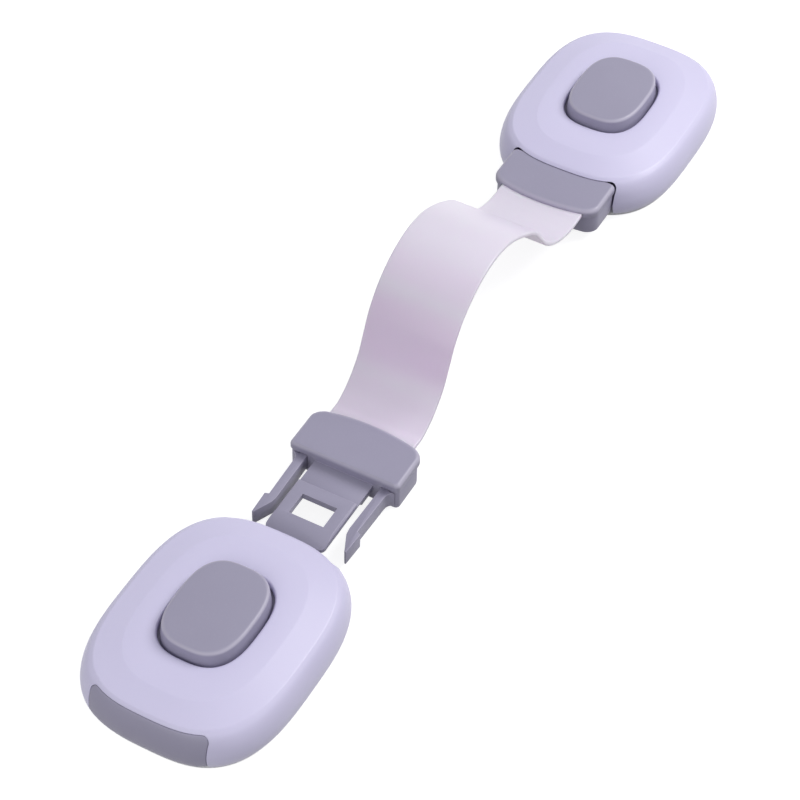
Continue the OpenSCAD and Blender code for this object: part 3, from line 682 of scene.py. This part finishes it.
def strap_moulding():
    """Flexible strap: milky pinkish-lilac plastic, with faint pinker bands across it that are painted shade
    of its slopes, and which bend with it.
    """
    f = Finish("Strap moulding")
    f.place = f.node("ShaderNodeAttribute", {"attribute_name": "rest"}, output="Vector")
    across = f.node("ShaderNodeMapping", sockets={"Vector": f.place, "Scale": (1.0, 0.1, 1.0)})
    drift = f.noise(9, 2, 0.45, across)
    x = f.node("ShaderNodeSeparateXYZ", sockets={"Vector": f.place}) * 1000 + 5 * drift
    # Painted shade: pinker, slightly darker bands at given places along the strap, where its slopes lie in
    # shade
    shade_bands = x.above(-23, 4) * (1 - x.above(-15, 3)) * 0.4 + x.above(-14, 4) * (1 - x.above(-7, 4)) + \
        x.above(-4, 3) * (1 - x.above(2, 5)) * 0.45
    color = f.mix(shade_bands, srgb(236, 226, 246), srgb(237, 215, 245))
    color = f.mix(drift * 0.35, color, srgb(232, 215, 240))
    ripple = f.bump(f.noise(4, 2, 0.5), 0.012)
    return f.done(Base_Color=color, Roughness=0.29 + 0.08 * f.noise(7, 2), Normal=ripple, IOR=1.48,
                  Subsurface_Weight=0.5, Subsurface_Radius=(1.0, 0.75, 0.95), Subsurface_Scale=0.003)


def pad_foam():
    """White closed-cell foam tape with small pores."""
    f = Finish("Pad foam")
    cells = f.node("ShaderNodeTexVoronoi", sockets={"Vector": f.place, "Scale": 1 / (0.5 * MM)},
                   output="Distance")
    color = f.mix(cells.above(0.1, 0.5), srgb(214, 214, 220), srgb(240, 240, 243))
    return f.done(Base_Color=color, Roughness=0.9, Normal=f.bump(cells, 0.05), IOR=1.4)


def spring_wire():
    """Bright drawn spring wire."""
    f = Finish("Spring wire")
    marks = f.noise(0.12, 3, 0.6)
    color = f.mix(marks, (0.52, 0.52, 0.54), (0.66, 0.66, 0.68))
    return f.done(Base_Color=color, Metallic=1.0, Roughness=0.24 + 0.2 * marks, Normal=f.bump(marks, 0.004))


WHITE, GREY, FOAM = white_moulding(), grey_moulding(), pad_foam()
STRAP, STEEL = strap_moulding(), spring_wire()


# Pieces in their places

NEAR_HEAD = Matrix.Translation(Vector((-HEAD_X, 0, 0)) * MM)
FAR_HEAD = Matrix.Translation(Vector((HEAD_X, 0, 0)) * MM) @ Matrix.Rotation(math.pi, 4, "Z")
NEAR_CONNECTOR = Matrix.Translation(Vector((NEAR_TIP_X, 0, 0)) * MM)
FAR_CONNECTOR = Matrix.Translation(Vector((FAR_TIP_X, 0, SEAT_Z)) * MM) @ Matrix.Scale(-1, 4, (1, 0, 0))


def set_down(piece, name, node, body, material, place=None):
    """Gives a piece its place, finish and body, and hides the CAD node that it stands for."""
    piece.name = piece.data.name = name
    if place is not None:
        piece.data.transform(place)
        if place.determinant() < 0:
            piece.data.flip_normals()
    piece.data.materials.clear()
    piece.data.materials.append(material)
    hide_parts(node)
    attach(piece, body)
    return piece


def twin(piece):
    """Copy of a piece with a mesh of its own."""
    copy = bpy.data.objects.new(piece.name, piece.data.copy())
    bpy.context.scene.collection.objects.link(copy)
    return copy


def place_heads():
    moulds = {"shell": (make_shell(), WHITE, "head"), "push_button": (make_button(), GREY, "button"),
              "adhesive_pad": (make_pad(), FOAM, "head"), "release_slider": (make_slider(), GREY, "release")}
    copied = {"base_plate": (WHITE, "head", SOFT_PLATE), "latch_leaf": (GREY, "latch", SOFT_LEAF)}
    coil = spring_tree(STEEL)
    lying = Matrix.Rotation(math.pi / 2, 4, "Y")
    press_foot = Vector((PRESS_COIL_X, 0, PRESS_COIL_FOOT)) * MM
    return_foot = Vector((RETURN_COIL_X, 0, RETURN_COIL_Z)) * MM
    for side, place in (("near", NEAR_HEAD), ("far", FAR_HEAD)):
        for kind, (mould, material, body) in moulds.items():
            set_down(twin(mould), f"{side}_{kind}_piece", f"{side}_{kind}", f"{side}_{body}", material, place)
        for kind, (material, body, softening) in copied.items():
            piece = smooth(rounded(copy_of_node(kind, f"{side}_{kind}"), softening))
            set_down(piece, f"{side}_{kind}_piece", f"{side}_{kind}", f"{side}_{body}", material)
        spring = smooth(coil.build("coil"), 60)
        set_down(spring, f"{side}_button_coil", f"{side}_button_spring", f"{side}_head", STEEL,
                 place @ Matrix.Translation(press_foot))
        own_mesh(spring)
        spring = smooth(coil.build("coil", Radius=RETURN_COIL_R * MM, Wire=RETURN_WIRE * MM,
                                   Turns=RETURN_TURNS, Height=RETURN_COIL_H * MM), 60)
        set_down(spring, f"{side}_slider_coil", f"{side}_slider_spring", f"{side}_head", STEEL,
                 place @ Matrix.Translation(return_foot) @ lying)
        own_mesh(spring)
    for mould, _, _ in moulds.values():
        bpy.data.objects.remove(mould)


def soften_step(base, place):
    """Rounds the top edge of the tongue's step, and marks the middle of the rounding for a painted highlight.
    """
    def change(bm):
        inside = place.inverted()
        near = 0.05
        edge = []
        for e in bm.edges:
            a, b = (inside @ v.co / MM for v in e.verts)
            if all(abs(p.x - STEP_X) < near and abs(p.z - TONGUE_TOP) < near for p in (a, b)):
                edge.append(e)
        # Painted highlight along the middle of the step's rounding
        edge_highlight = bm.verts.layers.float.new("edge_highlight")
        made = bmesh.ops.bevel(bm, geom=edge, offset=STEP_ROUND * MM, segments=4, profile=0.5,
                               affect="EDGES", clamp_overlap=True)
        for v in made["verts"]:
            t = 1 - (TONGUE_TOP - (inside @ v.co).z / MM) / STEP_ROUND
            v[edge_highlight] = max(0, 4 * t * (1 - t))
    return edit(base, change)


def place_connectors():
    cover = make_cover()
    for side, place in (("near", NEAR_CONNECTOR), ("far", FAR_CONNECTOR)):
        set_down(twin(cover), f"{side}_cover_piece", f"{side}_connector_cover", f"{side}_connector", GREY,
                 place)
        base = soften_step(copy_of_node("base", f"{side}_connector_base"), place)
        base = smooth(rounded(base, SOFT_BASE))
        set_down(base, f"{side}_base_piece", f"{side}_connector_base", f"{side}_connector", GREY)
        for hand in ("left", "right"):
            arm = smooth(rounded(copy_of_node("arm", f"{side}_{hand}_arm"), SOFT_ARM))
            set_down(arm, f"{side}_{hand}_arm_piece", f"{side}_{hand}_arm", f"{side}_arm_{hand}", GREY)
    bpy.data.objects.remove(cover)


def strap_line():
    """Middle line of the strap, from cover to cover."""
    near, far = NEAR_TIP_X + COVER_END, FAR_TIP_X - COVER_END
    far_z = STRAP_Z + SEAT_Z
    points = [(near - STRAP_HOLD, STRAP_Z), (near - STRAP_HOLD / 2, STRAP_Z)]
    points += [(near + s * (far - near), STRAP_Z + s * SEAT_Z + h * HUMP_H) for s, h in HUMP]
    points += [(far, far_z), (far + STRAP_HOLD / 2, far_z), (far + STRAP_HOLD, far_z)]
    return spline(points, 8)


def place_strap():
    line = bpy.data.curves.new("strap_line", "CURVE")
    line.dimensions = "3D"
    path = line.splines.new("POLY")
    points = strap_line()
    path.points.add(len(points) - 1)
    for point, (x, z) in zip(path.points, points):
        point.co = (x * MM, 0, z * MM, 1)
    strap = strap_tree(STRAP).build("strap_piece", line)
    strap = smooth(outward(strap), 50)
    rest = strap.data.attributes.new("rest", "FLOAT_VECTOR", "POINT")
    for vertex, item in zip(strap.data.vertices, rest.data):
        item.vector = vertex.co
    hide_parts("strap")
    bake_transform(strap)


place_heads()
place_connectors()
place_strap()


# Stage

def make_camera():
    azimuth, elevation, roll = (math.radians(a) for a in (-62.36, 47.131, 1.571))
    back = Vector((math.sin(azimuth) * math.cos(elevation), -math.cos(azimuth) * math.cos(elevation),
                   math.sin(elevation)))
    right = Vector((math.cos(azimuth), math.sin(azimuth), 0))
    up = back.cross(right)
    data = bpy.data.cameras.new("camera")
    data.lens, data.sensor_width, data.sensor_fit = 118.07, 36, "HORIZONTAL"
    data.clip_start, data.clip_end = 0.01, 50
    camera = bpy.data.objects.new("camera", data)
    bpy.context.scene.collection.objects.link(camera)
    r = right * math.cos(roll) + up * math.sin(roll)
    u = up * math.cos(roll) - right * math.sin(roll)
    place = Matrix((r, u, back)).transposed().to_4x4()
    target, distance = Vector((-10.53, 1.62, 0)), 541.05
    place.translation = (target + back * distance) * MM
    camera.matrix_world = place
    bpy.context.scene.camera = camera


def make_light(name, position, size, power):
    """Round lamp that faces the origin. Its place and size are in metres."""
    data = bpy.data.lights.new(name, "AREA")
    data.shape, data.size, data.energy = "DISK", size, power
    light = bpy.data.objects.new(name, data)
    bpy.context.scene.collection.objects.link(light)
    light.location = position
    light.rotation_euler = (-Vector(position)).to_track_quat("-Z", "Y").to_euler()


def seen_directly(f):
    """1 for a ray that should meet the white background."""
    ray = [f.node("ShaderNodeLightPath", output=kind)
           for kind in ("Is Camera Ray", "Is Glossy Ray", "Is Transmission Ray")]
    return f.node("ShaderNodeMath", {"operation": "MAXIMUM"}, {
        0: ray[0], 1: f.node("ShaderNodeMath", {"operation": "MAXIMUM"}, {0: ray[1], 1: ray[2]})})


def make_floor():
    f = Finish("Floor")
    plain = f.node("ShaderNodeBsdfDiffuse", sockets={"Color": (0.18, 0.18, 0.19, 1)})
    lit = f.node("ShaderNodeBsdfDiffuse", sockets={"Color": (0.36, 0.36, 0.37, 1)})
    glow = f.node("ShaderNodeEmission", sockets={"Color": (1, 1, 1, 1), "Strength": 0.86})
    seen = f.node("ShaderNodeAddShader", sockets={0: lit, 1: glow})
    both = f.node("ShaderNodeMixShader", sockets={0: seen_directly(f), 1: plain, 2: seen})
    end = f.tree.nodes.new("ShaderNodeOutputMaterial")
    f.tree.links.new(both.socket, end.inputs["Surface"])
    corners = [(x * STAGE_HALF, y * STAGE_HALF, STAGE_Z) for x, y in ((-1, -1), (1, -1), (1, 1), (-1, 1))]
    floor = new_piece("floor", corners, [(0, 1, 2, 3)])
    floor.data.materials.append(f.material)


def make_world():
    world = bpy.data.worlds.new("world")
    bpy.context.scene.world = world
    world.use_nodes = True
    f = Finish.__new__(Finish)
    f.tree = world.node_tree
    f.tree.nodes.clear()
    soft = f.node("ShaderNodeBackground", sockets={"Color": (0.96, 0.97, 1, 1), "Strength": 0.46})
    white = f.node("ShaderNodeBackground", sockets={"Color": (1, 1, 1, 1), "Strength": 1.0})
    both = f.node("ShaderNodeMixShader", sockets={0: seen_directly(f), 1: soft, 2: white})
    end = f.tree.nodes.new("ShaderNodeOutputWorld")
    f.tree.links.new(both.socket, end.inputs["Surface"])


make_camera()
make_floor()
make_world()
make_light("key", (0.40, -0.34, 0.56), 0.4, 3.35)
make_light("side", (-0.6, 0, 0.3), 0.5, 1.0)
bpy.context.scene.view_settings.view_transform = "Standard"
